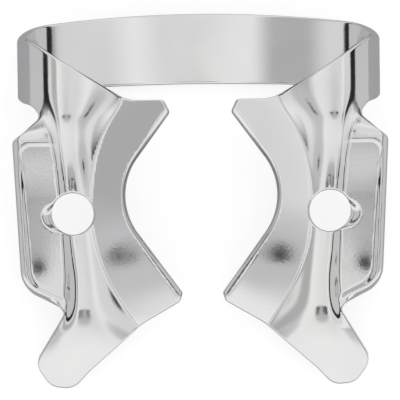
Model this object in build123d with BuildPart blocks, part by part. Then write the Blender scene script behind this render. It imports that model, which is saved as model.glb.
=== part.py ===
from build123d import *
from math import asin, atan, atan2, cos, degrees, hypot, radians, sin, tan
import os

os.makedirs("parts", exist_ok=True)

# Rubber dam clamp: one spring steel sheet, blanked, punched, formed and polished.
# It is formed with the jaws flat in XY, +X towards the right jaw, +Y towards the bow and
# +Z towards the gum side, then laid down on its bow and the tips of its front wings.
# X = 0 is the mid-plane, Y = 0 the row of the two forceps holes, and Z = 0 the top of the bead.

# Sheet and punching, mm
sheet = 0.5
hole_radius = 1.4
hole_x = 8.6
land_width = 1.5
land_depth = 0.3
land_share = 0.5
seat_radius = 1.1
seat_reach = 0.5
seat_depth = 0.38
seat_y = -0.2

# Bow and necks
bow_half_width = 12.2
bend_radius = 3.0
bow_bulge = 1.5
bow_crown_rise = 0.8
bow_crown_width = 4.8
bow_end_width = 3.9
joint_y = 7.7
neck_length = 3.2
neck_kink_x = 5.1
neck_corner_inset = 0.75
neck_corner_radius = 0.8
neck_edge_inset = 0.7
neck_foot_inset = 1.5
neck_foot_drop = 0.55
notch_inset = 1.6
notch_drop = 1.25
notch_radius = 0.5

# Blade: its gripping edge is an arc between two straight legs, which end in the prongs
grip = (6.14, 1.17)
grip_radius = 4.3
upper_prong_x = 2.1
upper_prong_length = 0.8
upper_prong_top_x = 2.5
lower_prong = (1.4, -5.4)
lower_prong_foot = (1.6, -5.95)
prong_radius = 0.3
blade_top_x = 4.4
blade_top_drop = 0.15
blade_top_radius = 1.0
blade_foot = (4.1, -7.45)
blade_foot_radius = 4.0
blade_drop = 0.35
prong_rise = 0.0017
grind_depth = 0.7
grind_angle = 23.0

# Bead, which runs from the neck through the hole row to the front wing
crest_x = 8.4
front_crest_x = 5.88
front_crest_lean = -0.3
crest_softness = 1.0
crease_x = 7.45
crease_y = 1.5
crease_upper_radius = 8.4
crease_lower_radius = 12.3
crease_softness = 0.25

# Central wing, with a tray pressed into it whose outer and lower walls are trimmed to a rim
wing_top_x = 12.56
wing_top_drop = 1.6
wing_top_radius = 0.5
wing_corner = (12.07, -4.98)
wing_corner_radius = 2.0
wing_foot = (9.5, -6.2)
wing_foot_radius = 0.6
wing_drop = 0.5
flank_radius = 1.2
flank_softness = 0.5
tray_depth = 0.35
tray_angle = 53.0
tray_top_x = 9.95
tray_top_rise = 0.25
tray_top_radius = 1.2
tray_foot_radius = 0.9
rim_land = 0.15
rim_start = 0.2
rim_spare = 0.15

# Front wing
front_waist = (7.6, -10.55)
front_waist_radius = 3.0
front_toe = (8.7, -11.75)
front_tip = (10.2, -11.6)
front_heel = (11.3, -10.0)
front_radius = 1.2
lower_notch = (9.25, -6.6)
lower_notch_radius = 0.3
front_start_y = -5.6
front_blend = 2.4
front_bend_y = -6.8
front_bend_radius = 14.0
front_crown_radius = 9.0

# Forming stations along a jaw, and the room that cuts leave round it
station_pitch = 0.8
inner_pitch = 0.8
outer_pitch = 0.25
fine_points = 160
slope_step = 1e-5
bend_sweep = 75.0
quarter_turn = 90.0
margin = 0.6
reach_z = 10.0
finest = 0.01

blade_top_y = joint_y - blade_top_drop
upper_prong = (upper_prong_x, blade_top_y - upper_prong_length)
neck_corner = (bow_half_width - neck_corner_inset, joint_y + bow_end_width)
neck_edge = (bow_half_width - neck_edge_inset, joint_y)
neck_foot = (bow_half_width - neck_foot_inset, joint_y - neck_foot_drop)
upper_notch = (bow_half_width - notch_inset, joint_y - notch_drop)
wing_top = (wing_top_x, upper_notch[1] - wing_top_drop)
tray_top_y = wing_top[1] + tray_top_rise
neck_start_y = joint_y - neck_length
bow_crown_low_y = joint_y + bow_crown_rise
bow_crown_top_y = bow_crown_low_y + bow_crown_width
bow_end_top_y = joint_y + bow_end_width
bend_reach = bend_radius * sin(radians(bend_sweep))
blade_limit_x = min(upper_prong[0], lower_prong[0]) - margin
wing_limit_x = max(wing_top[0], bow_half_width) + margin
jaw_bottom_y = front_toe[1] - margin
inner_points = round((crest_x - blade_limit_x) / inner_pitch)
outer_points = round((wing_limit_x - crest_x) / outer_pitch)

# The bow: a shallow arc between the two bends
bow_depth = 2 * bend_radius + bow_bulge
bend_x = bow_half_width - bend_radius
bow_radius = (bend_x**2 + (bend_radius + bow_bulge) ** 2 - bend_radius**2) / (2 * bow_bulge)
bow_centre_z = bow_radius - bow_depth
bow_end_angle = degrees(atan2(bow_depth - bend_radius - bow_radius, bend_x))

# The tray's walls keep the sheet's thickness, and its rim is cut square to them
tray_z = -wing_drop - tray_depth
tray_inset = tray_depth / tan(radians(tray_angle)) + sheet * sin(radians(tray_angle)) + rim_land
tray_mitre = sheet * tan(radians(tray_angle) / 2)
rim_drop = sheet * cos(radians(tray_angle))


def ease(value):
    """A step from 0 to 1 with level ends."""
    t = min(max(value, 0.0), 1.0)
    return t * t * (3 - 2 * t)


def mix(a, b, share):
    return a + (b - a) * share


def soft_max(a, b, softness):
    """The larger of two values, with a rounded valley where they cross."""
    blend = max(softness - abs(a - b), 0.0) / softness
    return max(a, b) + softness * blend**2 / 4


def mix_points(a, b, share):
    return (mix(a[0], b[0], share), mix(a[1], b[1], share))


def crest(y):
    """X of the top of the bead, which leans out to the bend of the bow and to the front wing."""
    lean = (bow_half_width - bend_radius - crest_x) / joint_y
    return soft_max(crest_x + lean * y, front_crest_x + front_crest_lean * y, crest_softness)


def crease(y):
    """X of the crease between bead and blade."""
    radius = crease_upper_radius if y > crease_y else crease_lower_radius
    return crease_x - (y - crease_y) ** 2 / (2 * radius)


def inner_height(x, y):
    """Height of the sheet's gum side from the crest in to the gripping edge."""
    across = crest(y) - x
    radius = (crest(y) - crease(y)) ** 2 / (2 * blade_drop)
    bead = -(across**2) / (2 * radius)
    blade = -blade_drop + prong_rise * max(crease(y) - x, 0.0) ** 4
    return soft_max(bead, blade, crease_softness)


def bend_drop(across):
    """Drop of the bow's bend, an arc that runs out straight past the forming sweep."""
    turn = asin(min(across, bend_reach) / bend_radius)
    return bend_radius * (1 - cos(turn)) + max(across - bend_reach, 0.0) * tan(turn)


def outer_height(x, y):
    """Height of the sheet's gum side from the crest out to the wing's edge."""
    across = x - crest(y)
    wing = soft_max(-(across**2) / (2 * flank_radius), -wing_drop, flank_softness)
    front = -(across**2) / (2 * front_crown_radius)
    low = mix(wing, front, ease((front_start_y - y) / front_blend))
    return mix(low, -bend_drop(across), ease((y - neck_start_y) / neck_length))


def height(x, y):
    """Height of the sheet's gum side, with a flatter land round the hole."""
    bend = max(front_bend_y - y, 0.0) ** 2 / (2 * front_bend_radius)
    form = (outer_height(x, y) if x > crest(y) else inner_height(x, y)) - bend
    land = land_share * ease((hole_radius + land_width - hypot(x - hole_x, y)) / land_width)
    return mix(form, -land_depth, land)


def section_point(x, y, depth):
    """A point of a section, moved down square to the surface by depth."""
    slope = (height(x + slope_step, y) - height(x - slope_step, y)) / (2 * slope_step)
    length = hypot(1, slope)
    return Vector(x + depth * slope / length, height(x, y) - depth / length)


def even_points(points, count):
    """The given points' line, divided again into equal lengths."""
    line = Polyline(*points, mode=Mode.PRIVATE)
    return [line @ (i / count) for i in range(count + 1)]


def section_curve(start, end, y, depth, count):
    """One curve of a section, from one x to another."""
    turns = [radians(bend_sweep) * i / fine_points for i in range(fine_points + 1)]
    xs = [start + (end - start) * sin(turn) / sin(turns[-1]) for turn in turns]
    points = even_points([section_point(x, y, depth) for x in xs], count)
    return Edge.make_spline(points, parameters=[i / count for i in range(count + 1)])


def section_curves(y):
    """The section's four curves: blade and wing sides of both faces of the sheet."""
    limit = mix(wing_limit_x, crest(y) + bend_reach, ease((y - neck_start_y) / (neck_length / 2)))
    curves = []
    for depth in (0, sheet):
        curves.append(section_curve(crest(y), blade_limit_x, y, depth, inner_points))
        curves.append(section_curve(crest(y), limit, y, depth, outer_points))
    return curves


# The jaw's outline from above, with the radius of each corner
jaw_outline = [
    ((neck_kink_x, joint_y), 0),
    ((blade_top_x, blade_top_y), blade_top_radius),
    ((upper_prong_top_x, blade_top_y), prong_radius),
    (upper_prong, prong_radius),
    (grip, grip_radius),
    (lower_prong, prong_radius),
    (lower_prong_foot, prong_radius),
    (blade_foot, blade_foot_radius),
    (front_waist, front_waist_radius),
    (front_toe, front_radius),
    (front_tip, front_radius),
    (front_heel, front_radius),
    (lower_notch, lower_notch_radius),
    (wing_foot, wing_foot_radius),
    (wing_corner, wing_corner_radius),
    (wing_top, wing_top_radius),
    (upper_notch, notch_radius),
    (neck_foot, notch_radius),
    (neck_edge, 0),
]

# The neck from above: its slanting upper edge and the corner where it turns into the bow
neck_outline = [
    ((neck_kink_x, joint_y), 0),
    (neck_corner, neck_corner_radius),
    ((wing_limit_x, bow_end_top_y), 0),
    ((wing_limit_x, joint_y), 0),
]

# The space between a jaw's legs, out to the mid-plane
grind_outline = [
    (mix_points(grip, upper_prong, grip[0] / (grip[0] - upper_prong[0])), 0),
    (grip, grip_radius),
    (mix_points(grip, lower_prong, grip[0] / (grip[0] - lower_prong[0])), 0),
]

# The tray from above, out to the wing's outer and lower edges
wing_height = wing_top[1] - wing_corner[1]
tray_outline = [
    (wing_foot, tray_foot_radius),
    (wing_corner, wing_corner_radius),
    (mix_points(wing_corner, wing_top, (tray_top_y - wing_corner[1]) / wing_height), tray_top_radius),
    ((tray_top_x, tray_top_y), tray_top_radius),
]

# The air beyond the wing's outer and lower edges
rim_low = mix_points(wing_foot, wing_corner, rim_start)
rim_end_y = tray_top_y + margin
rim_outline = [
    (rim_low, 0),
    (wing_corner, wing_corner_radius),
    (mix_points(wing_corner, wing_top, (rim_end_y - wing_corner[1]) / wing_height), 0),
    ((wing_limit_x + margin, rim_end_y), 0),
    ((wing_limit_x + margin, rim_low[1] - margin), 0),
    ((rim_low[0] + margin / 2, rim_low[1] - margin), 0),
]


def points(outline):
    return [point for point, radius in outline]


def radii(outline):
    return [radius for point, radius in outline]


with BuildPart() as jaw:
    stations = round((joint_y - jaw_bottom_y) / station_pitch)
    for i in range(stations + 1):
        y = mix(joint_y, jaw_bottom_y, i / stations)
        with BuildSketch(Plane.XZ.offset(-y)):
            with BuildLine():
                top_in, top_out, low_in, low_out = section_curves(y)
                add([top_in, top_out, low_in, low_out])
                Line(top_in @ 1, low_in @ 1)
                Line(top_out @ 1, low_out @ 1)
            make_face()
    loft()
    # Outside of the tray
    with BuildSketch(Plane.XY.offset(tray_z - sheet)):
        with BuildLine():
            FilletPolyline(*points(tray_outline), radius=radii(tray_outline), close=True)
        make_face()
        offset(amount=tray_mitre - tray_inset)
    extrude(amount=tray_depth + sheet / 2, taper=tray_angle - quarter_turn)
    with BuildSketch():
        with BuildLine():
            FilletPolyline(*points(jaw_outline), radius=radii(jaw_outline), close=True)
        make_face()
    extrude(amount=reach_z, both=True, mode=Mode.INTERSECT)
    # Inside of the tray
    with BuildSketch(Plane.XY.offset(tray_z)):
        with BuildLine():
            FilletPolyline(*points(tray_outline), radius=radii(tray_outline), close=True)
        make_face()
        offset(amount=-tray_inset)
    extrude(amount=tray_depth + rim_spare, taper=tray_angle - quarter_turn, mode=Mode.SUBTRACT)
    with BuildSketch():
        with Locations((hole_x, 0)):
            Circle(hole_radius)
    extrude(amount=reach_z, both=True, mode=Mode.SUBTRACT)
    # Seat of a forceps tip, punched leaning out over the wing
    seat_x = hole_x + hole_radius - seat_radius * hypot(1, seat_reach / seat_depth)
    with BuildSketch(Plane((seat_x, seat_y, -wing_drop - seat_depth), z_dir=(seat_reach, 0, seat_depth))):
        Circle(seat_radius)
    extrude(amount=wing_drop + sheet, mode=Mode.SUBTRACT)
    # Gripping edge, ground back towards the gum side
    with BuildSketch(Plane.XY.offset(-grind_depth)):
        with BuildLine():
            FilletPolyline(*points(grind_outline), radius=radii(grind_outline), close=True)
        make_face()
    extrude(amount=grind_depth + margin, taper=-grind_angle, mode=Mode.SUBTRACT)
    # Rim of the tray, cut square to its walls
    with BuildSketch(Plane.XY.offset(-wing_drop - rim_drop)):
        with BuildLine():
            FilletPolyline(*points(rim_outline), radius=radii(rim_outline), close=True)
        make_face()
    extrude(amount=rim_drop + rim_spare, taper=-tray_angle, mode=Mode.SUBTRACT)

# Room that the bow's strip takes: the neck from above, then the bow's side edges
with BuildPart() as strip:
    with BuildSketch(Plane.XY.offset(-bend_radius)):
        with BuildLine():
            FilletPolyline(*points(neck_outline), radius=radii(neck_outline), close=True)
        make_face()
    extrude(amount=bend_radius + margin)
    with BuildSketch(Plane.YZ):
        with BuildLine():
            Polyline(
                (joint_y, -bend_radius),
                (bow_crown_low_y, -bow_depth),
                (bow_crown_low_y, -bow_depth - margin),
                (bow_crown_top_y, -bow_depth - margin),
                (bow_crown_top_y, -bow_depth),
                (bow_end_top_y, -bend_radius),
                close=True,
            )
        make_face()
    extrude(amount=wing_limit_x)

with BuildPart() as bow:
    with BuildSketch(Plane.XZ.offset(-joint_y)):
        with BuildLine():
            top_in, top_out, low_in, low_out = section_curves(joint_y)
            add([top_in, top_out, low_in, low_out])
            Line(top_in @ 1, low_in @ 1)
            for depth in (0, sheet):
                bend_start = quarter_turn - bend_sweep
                bend_turn = bow_end_angle - bend_start
                CenterArc((bend_x, -bend_radius), bend_radius - depth, bend_start, bend_turn)
                bow_turn = -quarter_turn - bow_end_angle
                CenterArc((0, bow_centre_z), bow_radius - depth, bow_end_angle, bow_turn)
            Line((0, -bow_depth), (0, sheet - bow_depth))
        make_face()
    extrude(amount=joint_y - bow_crown_top_y - margin)
    add(strip.part, mode=Mode.INTERSECT)

with BuildPart() as formed:
    add(jaw.part)
    add(bow.part)
    mirror(about=Plane.YZ)

# Laid down: the bow's lower edge and the tips of the front wings share one level
tip_y = jaw.part.bounding_box().min.Y
tip_z = height(crest(tip_y), tip_y) - sheet
lay_angle = degrees(atan((tip_z + bow_depth) / (bow_crown_low_y - tip_y)))
laid = formed.part.rotate(Axis.X, lay_angle)
skin = laid.tessellate(finest)[0]
middle_y = (min(p.Y for p in skin) + max(p.Y for p in skin)) / 2
lowest_z = min(p.Z for p in skin)

with BuildPart() as clamp:
    with Locations((0, -middle_y, -lowest_z)):
        add(laid)
clamp.part.label = "clamp"
export_step(clamp.part, "parts/clamp.step")
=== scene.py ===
from math import acos, asin, atan, atan2, ceil, cos, hypot, pi, radians, sin, sqrt, tan

import bmesh
import bpy
from mathutils import Matrix, Vector


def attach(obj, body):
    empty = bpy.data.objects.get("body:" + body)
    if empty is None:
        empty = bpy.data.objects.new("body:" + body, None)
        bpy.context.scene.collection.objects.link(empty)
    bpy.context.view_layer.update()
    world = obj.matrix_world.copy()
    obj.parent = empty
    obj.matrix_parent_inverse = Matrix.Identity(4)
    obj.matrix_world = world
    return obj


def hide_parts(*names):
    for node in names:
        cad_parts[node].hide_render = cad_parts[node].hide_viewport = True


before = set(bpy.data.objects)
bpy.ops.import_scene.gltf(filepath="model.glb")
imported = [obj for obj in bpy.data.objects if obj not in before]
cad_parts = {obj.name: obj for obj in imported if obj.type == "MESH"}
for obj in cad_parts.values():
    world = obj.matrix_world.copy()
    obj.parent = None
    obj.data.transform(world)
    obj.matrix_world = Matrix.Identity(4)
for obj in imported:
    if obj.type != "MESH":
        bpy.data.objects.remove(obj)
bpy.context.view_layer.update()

# Rubber dam clamp, dressed: one polished sheet, worked as a flat blank and then formed.
# The blank lies in a plane, s along the strip from the crown of the bow and y across it.
# It is formed with the jaws flat in XY and then laid down, as the solid is. All sizes are in mm.

MM = 0.001

# Sheet and punching
sheet = 0.5
hole_radius = 1.4
hole_x = 8.6
hole_wall_width = 0.8
seat_radius = 1.1
seat_reach = 0.5
seat_depth = 0.38
seat_y = -0.2
seat_wall = 0.06

# Bow and necks
bow_half_width = 12.2
bend_radius = 3.0
bow_bulge = 1.5
bow_crown_rise = 0.8
bow_crown_width = 4.8
bow_end_width = 3.9
joint_y = 7.7
joint_softness = 1.0
neck_length = 2.6
neck_kink_x = 5.1
neck_corner_x = 11.45
neck_edge = (12.5, 7.52)
neck_foot = (11.25, 7.25)
neck_split_y = 6.6
upper_notch = (10.68, 6.5)
plan_limit_x = 11.75
neck_reach = 2.85

# Blade
grip = (6.14, 1.17)
grip_radius = 4.3
upper_prong = (2.1, 6.75)
upper_prong_top = (2.5, 7.55)
blade_top = (4.4, 7.55)
lower_prong = (1.4, -5.4)
lower_prong_foot = (1.6, -5.95)
blade_foot = (4.1, -7.45)
blade_drop = 0.5
blade_slope = 0.135
blade_radius = 60.0
blade_crown = 0.03
blade_crown_width = 1.6
blade_crown_y = -4.2

# Bead
crest_x = 8.4
front_crest_x = 5.88
front_crest_lean = -0.3
crest_softness = 1.0
bead_rise = 0.11
bead_softness = 0.35
crease_x = 7.7
crease_y = 1.5
crease_upper_radius = 9.6
crease_lower_radius = 12.8
crease_softness = 0.03

# Central wing and its tray
wing_top = (12.56, 4.85)
wing_corner = (12.07, -4.98)
wing_corner_radius = 2.0
wing_foot = (9.5, -6.2)
wing_drop = 0.5
flank_start = 0.3
flank_radius = 0.6
flank_softness = 0.18
tray_depth = 0.35
tray_angle = radians(53)
tray_top_x = 8.9
tray_foot_x = 8.1
tray_top_y = 5.1
tray_top_radius = 1.2
tray_inner_radius = 1.4
tray_softness = 0.08
tray_end_length = 4.0
dish_slope = 0.034
dish_width = 1.0
dish = (10.9, -3.6)

# Front wing
front_waist = (7.6, -10.55)
front_toe = (8.7, -11.75)
front_tip = (10.2, -11.6)
front_heel = (11.3, -10.0)
lower_notch = (9.25, -6.6)
front_start_y = -5.6
front_blend = 2.4
front_bend_y = -6.8
front_bend_radius = 14.0
front_crown_radius = 11.5

# Corner radii of the blank
neck_edge_radius = 1.5
neck_foot_radius = 0.9
upper_notch_radius = 0.4
wing_top_radius = 0.5
wing_foot_radius = 0.6
lower_notch_radius = 0.3
front_corner_radius = 1.2
front_waist_radius = 3.0
blade_foot_radius = 4.0
prong_radius = 0.3
blade_top_radius = 1.0
neck_kink_radius = 1.0
neck_corner_radius = 0.8

# Edges: tumbled round, with the gripping edge ground and the tray's rim cut square to its wall
edge_radius = 0.12
edge_share = 0.45
edge_rings = (0.015, 0.045, 0.08, 0.12, 0.17, 0.23)
grind_width = 0.17
prong_grind_width = 0.25
grind_depth = 0.3
rim_fade = 0.6

# Fineness of the blank: lengths, the largest turn of one step of an arc, and the hole's sides
outline_pitch = 0.15
arc_step = 0.2
hole_sides = 72
jaw_pitch = 0.12
strip_pitch = 0.25
nudge = 1e-4
snap = 0.01
flat_angle = 0.01

neck_start_y = joint_y - neck_length
bow_end_top_y = joint_y + bow_end_width
bow_crown_low_y = joint_y + bow_crown_rise
bow_crown_top_y = bow_crown_low_y + bow_crown_width

# The bow: a bend at each end and a shallow arc between them
bow_depth = 2 * bend_radius + bow_bulge
bend_x = bow_half_width - bend_radius
bow_radius = (bend_x**2 + (bend_radius + bow_bulge) ** 2 - bend_radius**2) / (2 * bow_bulge)
bow_centre_z = bow_radius - bow_depth
bow_end_angle = atan2(bow_depth - bend_radius - bow_radius, bend_x)
plan_turn = asin((plan_limit_x - bend_x) / bend_radius)
side_u = plan_limit_x + bend_radius * (pi / 2 - plan_turn)
bend_end_u = plan_limit_x + bend_radius * (pi / 2 - bow_end_angle - plan_turn)
crown_u = bend_end_u + bow_radius * (pi / 2 + bow_end_angle)


def ease(value):
    """A step from 0 to 1 with level ends."""
    t = min(max(value, 0.0), 1.0)
    return t * t * (3 - 2 * t)


def mix(a, b, share):
    """A value between two values."""
    return a + (b - a) * share


def soft_max(a, b, softness):
    """The larger of two values, with a rounded valley where they cross."""
    blend = max(softness - abs(a - b), 0.0) / softness
    return max(a, b) + softness * blend**2 / 4


def soft_min(a, b, softness):
    """The smaller of two values, with a rounded ridge where they cross."""
    return -soft_max(-a, -b, softness)


def crest(y):
    """X of the top of the bead."""
    lean = (bend_x - crest_x) / joint_y
    return soft_max(crest_x + lean * y, front_crest_x + front_crest_lean * y, crest_softness)


def crease(y):
    """X of the crease between bead and blade."""
    radius = crease_upper_radius if y > crease_y else crease_lower_radius
    return crease_x - (y - crease_y) ** 2 / (2 * radius)


def bead_height(y):
    """Height of the crest over the blade's crease, lower where the bead narrows at the hole."""
    return soft_min(bead_rise * (crest(y) - crease(y)) ** 2, blade_drop, bead_softness)


def inner_height(x, y):
    """Height of the gum side from the crest in to the gripping edge."""
    share = (crest(y) - x) / (crest(y) - crease(y))
    bead = bead_height(y) * (1 - share**2)
    reach = max(crease(y) - x, 0.0)
    crown = blade_crown * (hypot(y - blade_crown_y, blade_crown_width) - blade_crown_width)
    blade = blade_slope * reach + reach**2 / (2 * blade_radius) - crown
    return soft_max(bead, blade, crease_softness) - blade_drop


def outer_height(x, y, tray=0.0):
    """Height of the gum side from the crest out to the wing's edge, pressed down by the tray."""
    across = x - crest(y)
    top = bead_height(y) - blade_drop
    flank = top - max(across - flank_start, 0.0) ** 2 / (2 * flank_radius)
    wing = soft_max(flank, -wing_drop - tray, flank_softness)
    front = top - across**2 / (2 * front_crown_radius)
    low = mix(wing, front, ease((front_start_y - y) / front_blend))
    bend = bend_radius - sqrt(bend_radius**2 - min(across, neck_reach) ** 2)
    return mix(low, top - bend, ease((y - neck_start_y) / neck_length))


def seat_height(x, y):
    """Height of the leaning seat of a forceps tip beside the hole."""
    across = abs(y - seat_y)
    if across >= seat_radius:
        return seat_depth
    steep = seat_reach / seat_depth
    reach = seat_radius * hypot(1, steep) * (1 - sqrt(1 - (across / seat_radius) ** 2))
    return -wing_drop - tray_depth - seat_depth + (x - hole_x - hole_radius + reach) / steep


def height(x, y, tray=0.0):
    """Height of the gum side of the jaw."""
    level_y = soft_min(y, joint_y, joint_softness)
    bend = max(front_bend_y - y, 0.0) ** 2 / (2 * front_bend_radius)
    form = outer_height(x, level_y, tray) if x > crest(level_y) else inner_height(x, level_y)
    return form - bend


def gum_side(u, y):
    """Point of the formed gum side over a point of the blank: plan up to the bend, then rolled."""
    if u <= plan_limit_x or y < neck_split_y:
        return Vector((u, y, height(u, y)))
    lift = height(plan_limit_x, y) - bend_radius * (cos(plan_turn) - 1)
    if u <= bend_end_u:
        turn = plan_turn + (u - plan_limit_x) / bend_radius
        return Vector((bend_x + bend_radius * sin(turn), y, bend_radius * (cos(turn) - 1) + lift))
    turn = bow_end_angle - (u - bend_end_u) / bow_radius
    return Vector((bow_radius * cos(turn), y, bow_centre_z + bow_radius * sin(turn) + lift))


def gum_normal(u, y):
    """Direction that the formed gum side faces."""
    along = gum_side(u + nudge, y) - gum_side(u - nudge, y)
    across = gum_side(u, y + nudge) - gum_side(u, y - nudge)
    return along.cross(across).normalized()


def inside(point, corners):
    """Distance of a point inside a convex outline with rounded corners, given anticlockwise."""
    nearest = 1e9
    count = len(corners)
    for i, (corner, radius) in enumerate(corners):
        before = (Vector(corner) - Vector(corners[i - 1][0])).normalized()
        after = (Vector(corners[(i + 1) % count][0]) - Vector(corner)).normalized()
        offset = Vector(point) - Vector(corner)
        nearest = min(nearest, after.cross(offset))
        turn = acos(before.dot(after))
        centre = (after - before).normalized() * radius / cos(turn / 2)
        reach = offset - centre
        if reach.dot(before) > 0 and reach.dot(after) < 0:
            nearest = min(nearest, radius - reach.length)
    return nearest


foot_slope = (wing_corner[1] - wing_foot[1]) / (wing_corner[0] - wing_foot[0])
tray_top_share = (tray_top_y - wing_corner[1]) / (wing_top[1] - wing_corner[1])
tray_outer_x = mix(wing_corner[0], wing_top[0], tray_top_share)
tray_outline = [
    ((tray_foot_x, wing_foot[1] + (tray_foot_x - wing_foot[0]) * foot_slope), 0.0),
    (wing_corner, wing_corner_radius),
    ((tray_outer_x, tray_top_y), tray_top_radius),
    ((tray_top_x, tray_top_y), tray_inner_radius),
]
# The rim's outline runs on along the wing's edge, and closes well past the jaw
rim_run_on = (1.0, 20.0)
rim_far_corner = (-20.0, 20.0)
rim_outline = [
    (wing_foot, 0.0),
    (wing_corner, wing_corner_radius),
    ((wing_top[0] + rim_run_on[0], wing_top[1] + rim_run_on[1]), 0.0),
    (rim_far_corner, 0.0),
]
rim_width = sheet * sin(tray_angle)
tray_mitre = sheet * tan(tray_angle / 2)
tray_slope = tan(tray_angle)


def tray_drop(x, y, share):
    """How far the tray is pressed down, on the gum side (share 0) or the far side (share 1)."""
    wall = (inside((x, y), tray_outline) - rim_width + tray_mitre * share) * tray_slope
    rise = dish_slope * (hypot(x - dish[0], y - dish[1], dish_width) - dish_width)
    end = max(1 - (tray_top_y - y) / tray_end_length, 0.0)
    floor = (tray_depth - rise) * (1 - end**2)
    return max(soft_min(soft_max(wall, 0.0, tray_softness), floor, tray_softness), 0.0)


def grip_distance(x, y):
    """Distance of a point of the blade from the gripping edge."""
    up = (Vector(upper_prong) - Vector(grip)).normalized()
    down = (Vector(lower_prong) - Vector(grip)).normalized()
    half = acos(up.dot(down)) / 2
    centre = Vector(grip) + (up + down).normalized() * grip_radius / sin(half)
    offset = Vector((x, y)) - centre
    if offset.dot(up) < 0 and offset.dot(down) < 0:
        return offset.length - grip_radius
    leg = up if y > grip[1] else down
    return abs(leg.cross(Vector((x, y)) - Vector(grip)))


def edge_cut(x, y):
    """Depth to which the gum side is cut back: the tray's rim and the ground gripping edge."""
    cut = 0.0
    if lower_notch[1] < y < tray_top_y and x > wing_foot[0]:
        rim = (rim_width - max(inside((x, y), rim_outline), 0.0)) / tray_slope
        cut = max(rim, 0.0) * ease((x - wing_foot[0]) / rim_fade)
    if lower_prong[1] - edge_radius < y < upper_prong[1] + edge_radius and x < grip[0]:
        share = ease(abs(y - grip[1]) / (upper_prong[1] - grip[1]))
        width = mix(grind_width, prong_grind_width, share)
        cut = max(cut, grind_depth * (1 - grip_distance(x, y) / width))
    return cut


def edge_round(distance, radius):
    """Depth of a rounded edge at a distance from the outline."""
    return radius - sqrt(radius**2 - max(radius - distance, 0.0) ** 2)


def formed(s, y, edge, far):
    """A point of the clamp over a point of the blank, on its gum side or, with far 1, its far side."""
    u = crown_u - abs(s)
    jaw = y < joint_y
    cut = edge_cut(u, y) if jaw and not far else 0.0
    deepest = edge_cut(u, y) if jaw and edge < edge_rings[-1] else 0.0
    radius = min(edge_radius, (sheet - deepest) * edge_share)
    rounding = edge_round(edge, radius)
    depth = sheet - rounding if far else cut + rounding
    upright = ease((hole_radius + hole_wall_width - hypot(u - hole_x, y)) / hole_wall_width)
    point = gum_side(u, y) - gum_normal(u, y).lerp(Vector((0, 0, 1)), upright) * depth
    if jaw and u > crest(y):
        point.z += height(u, y, tray_drop(u, y, depth / sheet)) - height(u, y)
        if not far:
            seat = max(seat_height(u, y), -wing_drop - tray_depth - seat_depth) - rounding
            far_z = height(u, y, tray_drop(u, y, 1.0)) - sheet + edge_radius
            point.z = min(point.z, max(seat, far_z + seat_wall))
    if s < 0:
        point.x = -point.x
    return point


def strip_edge_y(u, end_y, crown_y):
    """Y of an edge of the bow, which slants from the bends to the crown."""
    z = gum_side(u, joint_y + 1).z
    return mix(end_y, crown_y, max(-bend_radius - z, 0.0) / (bow_depth - bend_radius))


blank_outline = [
    ((side_u, joint_y), 0),
    (neck_edge, neck_edge_radius),
    (neck_foot, neck_foot_radius),
    (upper_notch, upper_notch_radius),
    (wing_top, wing_top_radius),
    (wing_corner, wing_corner_radius),
    (wing_foot, wing_foot_radius),
    (lower_notch, lower_notch_radius),
    (front_heel, front_corner_radius),
    (front_tip, front_corner_radius),
    (front_toe, front_corner_radius),
    (front_waist, front_waist_radius),
    (blade_foot, blade_foot_radius),
    (lower_prong_foot, prong_radius),
    (lower_prong, prong_radius),
    (grip, grip_radius),
    (upper_prong, prong_radius),
    (upper_prong_top, prong_radius),
    (blade_top, blade_top_radius),
    ((neck_kink_x, joint_y), neck_kink_radius),
    ((neck_corner_x, bow_end_top_y), neck_corner_radius),
    ((side_u, bow_end_top_y), 0),
]


def trace_outline(bm):
    """Draws the outline of half the blank, its corners spun to their radii."""
    places = [Vector((crown_u - u, y, 0)) for (u, y), radius in blank_outline]
    last = None
    first = None
    for i in range(len(places)):
        corner, radius = places[i], blank_outline[i][1]
        start = corner
        if radius:
            before = (corner - places[i - 1]).normalized()
            after = (places[i + 1] - corner).normalized()
            turn = atan2(before.cross(after).z, before.dot(after))
            start = corner - before * radius * tan(abs(turn) / 2)
        pen = bm.verts.new(start)
        if last:
            bm.edges.new((last, pen))
        first = first or pen
        if radius:
            centre = start + Vector((-before.y, before.x, 0)) * (radius if turn > 0 else -radius)
            steps = max(ceil(abs(turn) * radius / outline_pitch), ceil(abs(turn) / arc_step))
            spun = bmesh.ops.spin(bm, geom=[pen], cent=centre, axis=(0, 0, 1), angle=turn, steps=steps)
            pen = spun["geom_last"][0]
        last = pen
    low = bm.verts.new((0, bow_crown_low_y, 0))
    top = bm.verts.new((0, bow_crown_top_y, 0))
    bm.edges.new((last, top))
    bm.edges.new((top, low))
    bm.edges.new((low, first))
    for edge in list(bm.edges):
        cuts = ceil(edge.calc_length() / outline_pitch) - 1
        on_seam = max(vert.co.x for vert in edge.verts) < nudge
        if cuts > 0 and not on_seam:
            bmesh.ops.subdivide_edges(bm, edges=[edge], cuts=cuts)
    for vert in bm.verts:
        u = crown_u - vert.co.x
        if side_u < u and vert.co.x > nudge:
            low_y = strip_edge_y(u, joint_y, bow_crown_low_y)
            top_y = strip_edge_y(u, bow_end_top_y, bow_crown_top_y)
            vert.co.y = low_y if vert.co.y < mix(low_y, top_y, 0.5) else top_y


def cut_grid(bm, region, normal, places):
    """Cuts a region along lines square to a direction, and gives back the cut region."""
    for place in places:
        cut = bmesh.ops.bisect_plane(
            bm, geom=region, dist=snap, plane_co=Vector(normal) * place, plane_no=normal
        )
        region = cut["geom"]
    return region


def grid_lines(start, end, pitch):
    """Even places between two ends, without the ends, at most a pitch apart."""
    count = ceil((end - start) / pitch)
    return [mix(start, end, i / count) for i in range(1, count)]


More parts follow.
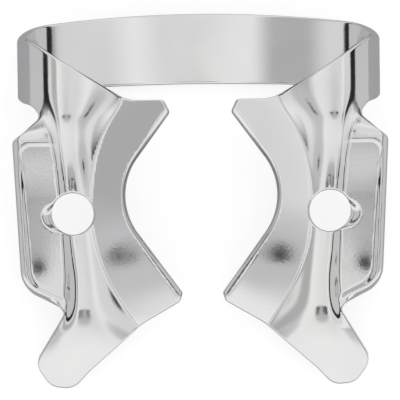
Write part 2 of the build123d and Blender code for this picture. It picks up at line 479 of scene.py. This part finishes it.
def flat_blank(bm):
    """The whole flat blank, with rings of faces along its edges and a fine grid inside them."""
    trace_outline(bm)
    rim = bmesh.ops.create_circle(bm, segments=hole_sides, radius=hole_radius)
    bmesh.ops.translate(bm, verts=rim["verts"], vec=(crown_u - hole_x, 0, 0))
    bmesh.ops.triangle_fill(bm, edges=bm.edges[:], use_beauty=True)
    inner_edges = [edge for edge in bm.edges if len(edge.link_faces) == 2]
    bmesh.ops.dissolve_limit(bm, angle_limit=flat_angle, verts=[], edges=inner_edges)
    bmesh.ops.mirror(bm, geom=bm.verts[:] + bm.edges[:] + bm.faces[:], axis="X", merge_dist=nudge)
    bmesh.ops.recalc_face_normals(bm, faces=bm.faces[:])
    edge = bm.verts.layers.float.new("edge")
    inner = bm.faces[:]
    reached = 0.0
    for ring in edge_rings:
        bmesh.ops.inset_region(
            bm, faces=inner, use_boundary=True, use_even_offset=True, thickness=ring - reached
        )
        reached = ring
        for face in inner:
            for vert in face.verts:
                vert[edge] = ring
    region = set(inner)
    for face in inner:
        region.update(face.edges)
        region.update(face.verts)
    region = list(region)
    jaw_start = crown_u - wing_top[0] - 2 * jaw_pitch
    lines = grid_lines(0, jaw_start, strip_pitch) + [jaw_start]
    lines += grid_lines(jaw_start, crown_u - lower_prong[0], jaw_pitch)
    region = cut_grid(bm, region, (1, 0, 0), [-line for line in lines] + lines)
    lines = grid_lines(front_toe[1], joint_y, jaw_pitch) + [joint_y]
    lines += grid_lines(joint_y, bow_crown_top_y, strip_pitch)
    cut_grid(bm, region, (0, 1, 0), lines)


def make_clamp():
    """The clamp's mesh: the blank given its thickness, formed and laid down."""
    bm = bmesh.new()
    flat_blank(bm)
    edge = bm.verts.layers.float["edge"]
    far_side = bm.verts.layers.int.new("far_side")
    raised = bmesh.ops.extrude_face_region(bm, geom=bm.faces[:], use_keep_orig=True)
    for item in raised["geom"]:
        if isinstance(item, bmesh.types.BMVert):
            item[far_side] = 1
    tip_y = min(vert.co.y for vert in bm.verts)
    tip_z = height(crest(tip_y), tip_y) - sheet
    lay_angle = atan((tip_z + bow_depth) / (bow_crown_low_y - tip_y))
    for vert in bm.verts:
        vert.co = formed(vert.co.x, vert.co.y, vert[edge], vert[far_side])
    bmesh.ops.rotate(bm, verts=bm.verts, cent=(0, 0, 0), matrix=Matrix.Rotation(lay_angle, 3, "X"))
    ys = [vert.co.y for vert in bm.verts]
    zs = [vert.co.z for vert in bm.verts]
    bmesh.ops.translate(bm, verts=bm.verts, vec=(0, -(min(ys) + max(ys)) / 2, -min(zs)))
    bmesh.ops.scale(bm, verts=bm.verts, vec=(MM, MM, MM))
    bmesh.ops.recalc_face_normals(bm, faces=bm.faces[:])
    for face in bm.faces:
        face.smooth = True
    mesh = bpy.data.meshes.new("clamp_sheet")
    bm.to_mesh(mesh)
    bm.free()
    clamp = bpy.data.objects.new("clamp_sheet", mesh)
    bpy.context.collection.objects.link(clamp)
    return clamp


class Value:
    """A number in a shader, whose operators add Math nodes."""

    def __init__(self, shader, socket):
        self.shader = shader
        self.socket = socket

    def math(self, operation, *values):
        return self.shader.node("ShaderNodeMath", {"operation": operation}, values)

    def __add__(self, other):
        return self.math("ADD", self, other)

    __radd__ = __add__

    def __mul__(self, other):
        return self.math("MULTIPLY", self, other)

    __rmul__ = __mul__

    def step(self, low, high):
        """0 below low, 1 above high, with level ends."""
        settings = {"interpolation_type": "SMOOTHSTEP"}
        return self.shader.node("ShaderNodeMapRange", settings, (self, low, high, 0.0, 1.0))


class Shader:
    """The nodes of one material or of the world."""

    def __init__(self, tree):
        self.tree = tree
        tree.nodes.clear()

    def node(self, kind, settings=None, sockets=(), output=0):
        """Adds a node: its settings first, then its sockets by place or by name."""
        made = self.tree.nodes.new(kind)
        for name, value in (settings or {}).items():
            if name == "stops":
                self.fill_ramp(made.color_ramp, value)
            else:
                setattr(made, name, value)
        pairs = sockets.items() if isinstance(sockets, dict) else enumerate(sockets)
        for key, value in pairs:
            if isinstance(value, Value):
                self.tree.links.new(value.socket, made.inputs[key])
            else:
                made.inputs[key].default_value = value
        return Value(self, made.outputs[output]) if made.outputs else made

    def fill_ramp(self, ramp, stops):
        """Gives a colour ramp its stops, each a place and a grey level, from place 0 to place 1."""
        ramp.elements[0].color = grey(stops[0][1])
        ramp.elements[-1].color = grey(stops[-1][1])
        for place, level in stops[1:-1]:
            ramp.elements.new(place).color = grey(level)

    def blend(self, share, a, b):
        """A colour between two colours."""
        settings = {"data_type": "RGBA"}
        return self.node("ShaderNodeMix", settings, {0: share, 6: a, 7: b}, output=2)


def grey(level, tint=(1.0, 1.0, 1.0)):
    """A grey colour, a little tinted where a tint is given."""
    return (level * tint[0], level * tint[1], level * tint[2], 1.0)


# Steel: sizes of the patterns are noise scales, and the grain's depth is in metres
wear_scale = 420.0
cloud_scale = 160.0
grain_scale = 6500.0
grain_depth = 1.0e-6
steel_grey = 0.84
steel_pale = 0.88
pale_tint = (1.0, 1.0, 0.99)
smoothest = 0.07
wear_roughness = 0.05


def polished_steel():
    """Bright steel, tumbled and polished, a little uneven in its gloss."""
    material = bpy.data.materials.new("polished_steel")
    material.use_nodes = True
    steel = Shader(material.node_tree)
    place = steel.node("ShaderNodeTexCoord", output=3)
    wear = steel.node("ShaderNodeTexNoise", None, {"Vector": place, "Scale": wear_scale, "Detail": 3.0})
    cloud = steel.node("ShaderNodeTexNoise", None, {"Vector": place, "Scale": cloud_scale, "Detail": 2.0})
    grain = steel.node("ShaderNodeTexNoise", None, {"Vector": place, "Scale": grain_scale, "Detail": 2.0})
    peel = steel.node("ShaderNodeBump", None, {"Strength": 1.0, "Distance": grain_depth, "Height": grain})
    sockets = {
        "Base Color": steel.blend(cloud.step(0.3, 0.7), grey(steel_grey), grey(steel_pale, pale_tint)),
        "Metallic": 1.0,
        "Roughness": wear.step(0.35, 0.75) * wear_roughness + smoothest,
        "Normal": peel,
    }
    body = steel.node("ShaderNodeBsdfPrincipled", None, sockets)
    steel.node("ShaderNodeOutputMaterial", None, {"Surface": body})
    return material


def aim(azimuth, elevation):
    """Unit direction towards an azimuth and elevation, in degrees."""
    a, e = radians(azimuth), radians(elevation)
    return Vector((sin(a) * cos(e), -cos(a) * cos(e), sin(e)))


# Camera, fitted to the photograph
view_azimuth = -6.0
view_elevation = 75.702
view_roll = radians(5.0)
view_distance = 0.2
view_near = 0.01
view_target_height = 4.0
view_pixels_per_mm = 14.952
view_middle = (201.047, 186.239)
image_width = 400
sensor_width = 36.0


def make_camera():
    """The camera, at the angle and framing of the photograph."""
    back = aim(view_azimuth, view_elevation)
    level = Vector((0, 0, 1)).cross(back).normalized()
    raised = back.cross(level)
    right = level * cos(view_roll) + raised * sin(view_roll)
    up = raised * cos(view_roll) - level * sin(view_roll)
    pixel = MM / view_pixels_per_mm
    half = image_width / 2
    target = Vector((0, 0, view_target_height * MM))
    target += right * (half - view_middle[0]) * pixel - up * (half - view_middle[1]) * pixel
    data = bpy.data.cameras.new("camera")
    data.sensor_width = sensor_width
    data.lens = view_distance / (image_width * pixel) * sensor_width
    data.clip_start = view_near
    camera = bpy.data.objects.new("camera", data)
    place = target + back * view_distance
    camera.matrix_world = Matrix.Translation(place) @ Matrix((right, up, back)).transposed().to_4x4()
    bpy.context.collection.objects.link(camera)
    bpy.context.scene.camera = camera


# Light tent: brightness by how far a direction points to the right, with dark gaps between panels
tent_panels = [
    (-1.0, 0.58),
    (-0.77, 0.58),
    (-0.74, 0.02),
    (-0.60, 0.02),
    (-0.56, 0.75),
    (-0.48, 0.75),
    (-0.41, 0.46),
    (-0.27, 0.46),
    (-0.20, 0.90),
    (0.0, 0.82),
    (0.16, 0.75),
    (0.27, 0.92),
    (0.38, 0.75),
    (0.56, 0.75),
    (0.60, 0.02),
    (0.74, 0.02),
    (0.77, 0.60),
    (1.0, 0.60),
]
# Directions of the jaws as they lie
jaw_front = (0, -0.957, -0.291)
jaw_up = (0, -0.291, 0.957)

# The tent's front, by how far a direction points to the front: a bright cloth over a greyer foot
front_cloth = (0.12, 0.42)
front_cloth_level = 0.93
front_foot = (0.80, 0.95)
front_foot_level = 0.45

# Greyer patches: right and forward parts of a direction, inner and outer angles in degrees, level, tint
grey_patches = [
    (0.026, 0.10, 3.2, 5.6, 0.50, (1.0, 0.985, 1.0)),
    (-0.32, 0.16, 4.0, 9.0, 0.60, (1.0, 0.98, 1.01)),
    (0.37, 0.16, 4.0, 9.0, 0.58, (1.0, 0.98, 1.01)),
]

# Small dark spots, as a lens leaves in a reflection
dark_spots = [(-0.0285, 0.0735), (0.0805, 0.0735), (-0.315, 0.135), (0.37, 0.135)]
spot_angles = (0.5, 1.35)
spot_level = 0.01


def make_world():
    """A pale light tent with dark gaps, greyer patches and small dark spots, and white to the camera."""
    world = bpy.data.worlds.new("light_tent")
    bpy.context.scene.world = world
    world.use_nodes = True
    tent = Shader(world.node_tree)
    way = tent.node("ShaderNodeTexCoord", output=0)

    def along(axis):
        return tent.node("ShaderNodeVectorMath", {"operation": "DOT_PRODUCT"}, (way, axis), output=1)

    def zone(right, forward, inner, outer):
        """1 within an angle of a direction over the jaws, fading to 0 at a wider one."""
        up = sqrt(1 - right**2 - forward**2)
        way_there = Vector((right, 0, 0)) + Vector(jaw_front) * forward + Vector(jaw_up) * up
        return along(way_there).step(cos(radians(outer)), cos(radians(inner)))

    side = along((1, 0, 0))
    front = along(jaw_front)
    panels = [((1 + place) / 2, level) for place, level in tent_panels]
    colour = tent.node("ShaderNodeValToRGB", {"stops": panels}, (side * 0.5 + 0.5,))
    colour = tent.blend(front.step(*front_cloth), colour, grey(front_cloth_level))
    colour = tent.blend(front.step(*front_foot), colour, grey(front_foot_level))
    for right, forward, inner, outer, level, tint in grey_patches:
        colour = tent.blend(zone(right, forward, inner, outer), colour, grey(level, tint))
    for place in dark_spots:
        colour = tent.blend(zone(*place, *spot_angles), colour, grey(spot_level))
    lit = tent.node("ShaderNodeBackground", None, (colour, 1.0))
    white = tent.node("ShaderNodeBackground", None, (grey(1.0), 1.0))
    seen = tent.node("ShaderNodeLightPath")
    shown = tent.node("ShaderNodeMixShader", None, (seen, lit, white))
    tent.node("ShaderNodeOutputWorld", None, {"Surface": shown})


# Floor: how the steel sees it, and how the camera does
floor_radius = 0.25
floor_sides = 64
matt_grey = 0.62
matt_tint = (1.0, 0.985, 1.015)
shadow_grey = 0.4
ground_glow = 0.78


def make_floor():
    """A plain pale floor: matt to the steel, and near white with a faint shadow to the camera."""
    bm = bmesh.new()
    bmesh.ops.create_circle(bm, cap_ends=True, segments=floor_sides, radius=floor_radius)
    mesh = bpy.data.meshes.new("floor")
    bm.to_mesh(mesh)
    bm.free()
    floor = bpy.data.objects.new("floor", mesh)
    bpy.context.collection.objects.link(floor)
    material = bpy.data.materials.new("white_ground")
    material.use_nodes = True
    ground = Shader(material.node_tree)
    matt = ground.node("ShaderNodeBsdfDiffuse", None, {"Color": grey(matt_grey, matt_tint)})
    shaded = ground.node("ShaderNodeBsdfDiffuse", None, {"Color": grey(shadow_grey)})
    white = ground.node("ShaderNodeEmission", None, (grey(ground_glow), 1.0))
    pale = ground.node("ShaderNodeAddShader", None, (shaded, white))
    seen = ground.node("ShaderNodeLightPath")
    shown = ground.node("ShaderNodeMixShader", None, (seen, matt, pale))
    ground.node("ShaderNodeOutputMaterial", None, {"Surface": shown})
    mesh.materials.append(material)


clamp = make_clamp()
clamp.data.materials.append(polished_steel())
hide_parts("clamp")
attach(clamp, "root")
make_floor()
make_world()
make_camera()
bpy.context.scene.view_settings.view_transform = "Standard"
